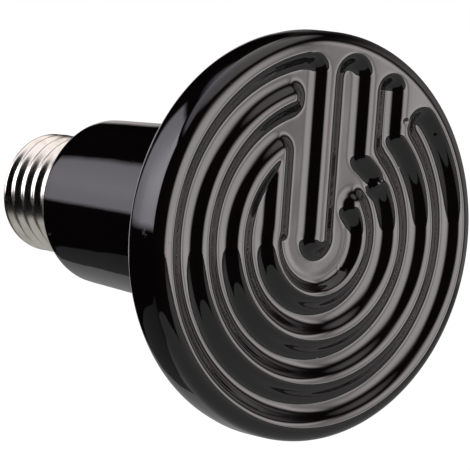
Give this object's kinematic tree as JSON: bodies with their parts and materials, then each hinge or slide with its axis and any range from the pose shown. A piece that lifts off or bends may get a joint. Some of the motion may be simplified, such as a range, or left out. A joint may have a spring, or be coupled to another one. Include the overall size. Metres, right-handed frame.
{
  "type": "ceramic heat emitter",
  "caption": "Black glazed ceramic heat emitter: a disc with a raised ridge pattern on a tapering neck, with a metal screw cap.",
  "frame": {"origin": "the flat tip of the centre contact's solder, on the lamp's axis", "axes": "+Y along the lamp's axis from the face to the contact, +Z along the pattern's straight fingers, +X to the right as the face is seen"},
  "size_m": [0.085, 0.0996, 0.085],
  "materials": {
    "glazed_ceramic": "black gloss glaze",
    "cement": "matt cement",
    "nickel_shell": "bright nickel plate",
    "black_glass": "opaque black glass",
    "contact_brass": "stamped brass",
    "solder": "dull solder",
    "lead_wire": "drawn wire"
  },
  "bodies": {
    "root": {"ceramic_body": "glazed_ceramic", "cap_cement": "cement", "screw_shell": "nickel_shell", "cap_insulator": "black_glass", "centre_contact": "contact_brass", "contact_solder": "solder", "centre_lead": "lead_wire", "shell_lead": "lead_wire", "shell_solder": "solder"}
  },
  "joints": []
}
